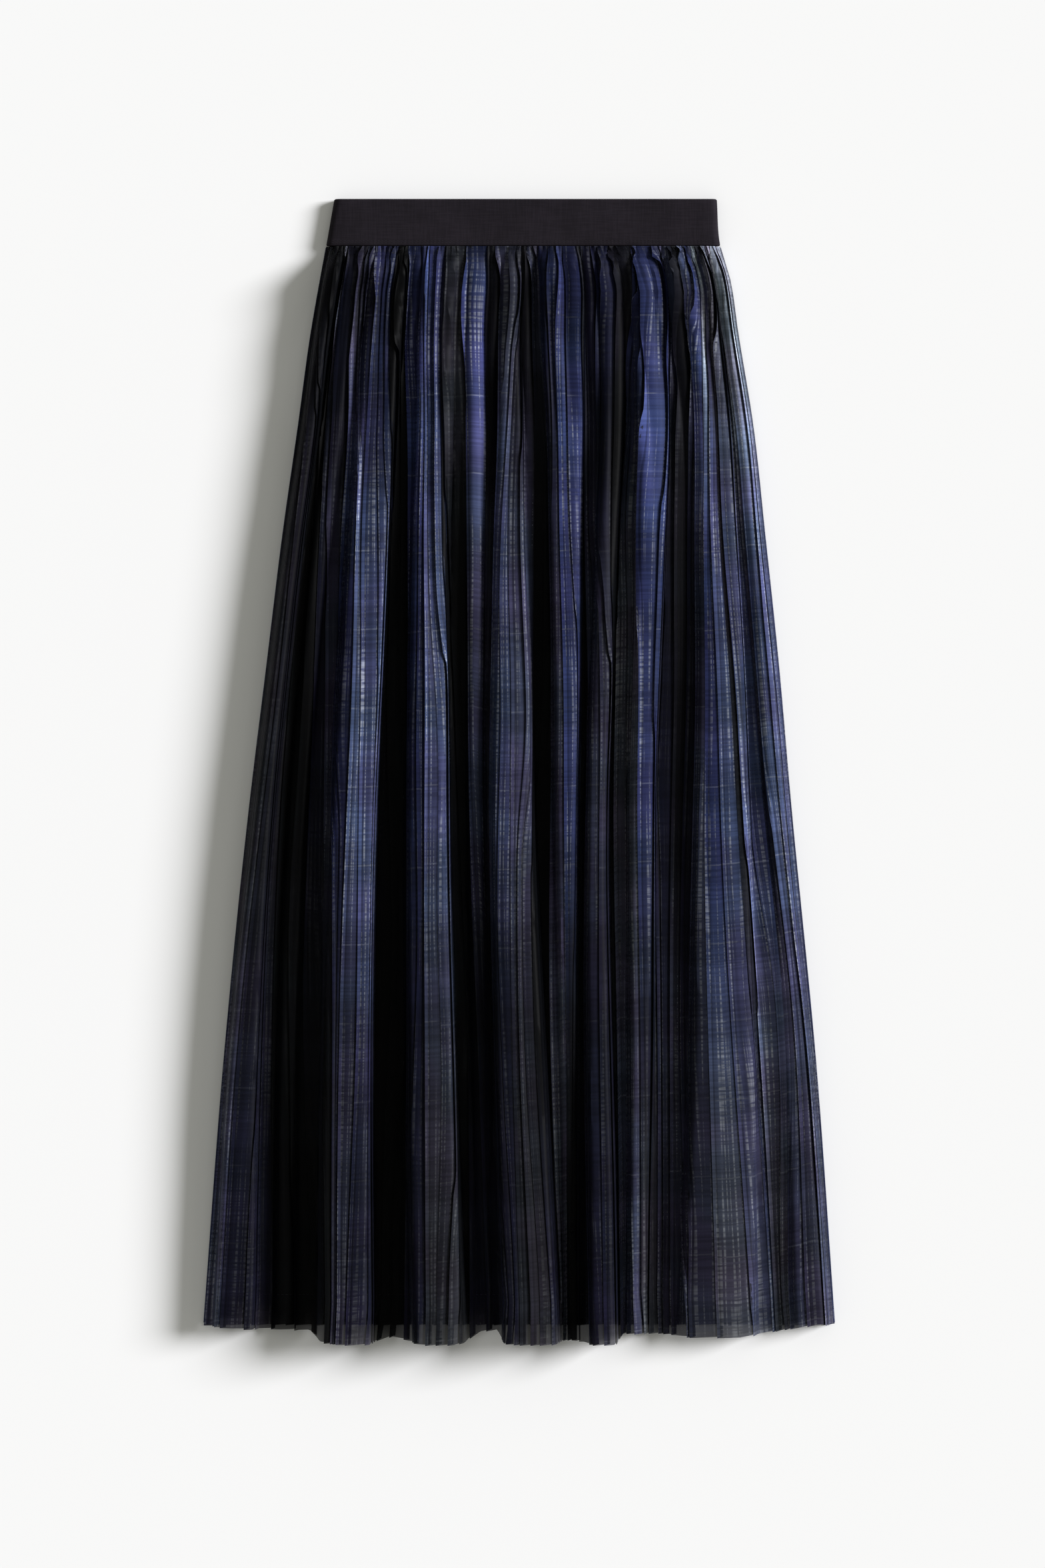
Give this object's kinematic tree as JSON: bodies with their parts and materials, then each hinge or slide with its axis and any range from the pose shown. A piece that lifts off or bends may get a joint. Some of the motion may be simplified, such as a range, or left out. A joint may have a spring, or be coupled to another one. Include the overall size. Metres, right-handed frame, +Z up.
{
  "type": "pleated maxi skirt",
  "caption": "Long sheer pleated skirt laid flat, with a wide elastic waistband, knife-pleated front and back panels in soft folds and a shorter plain lining.",
  "frame": {"origin": "middle of the skirt's outline, on the surface that it lies on", "axes": "+Y toward the waist along the skirt's length, +X to the wearer's left as the front is seen, +Z up out of the surface through the front"},
  "size_m": [0.5397, 0.978, 0.041],
  "materials": {
    "elastic": "matte covered elastic, charcoal with a purple cast",
    "sheer_cloth": "sheer satiny shadow check, navy, grey and purple, pressed in knife pleats",
    "lining_cloth": "matte plain near-black lining"
  },
  "bodies": {
    "root": {"waistband": "elastic", "front_panel": "sheer_cloth", "back_panel": "sheer_cloth", "front_lining": "lining_cloth", "back_lining": "lining_cloth"}
  },
  "joints": []
}
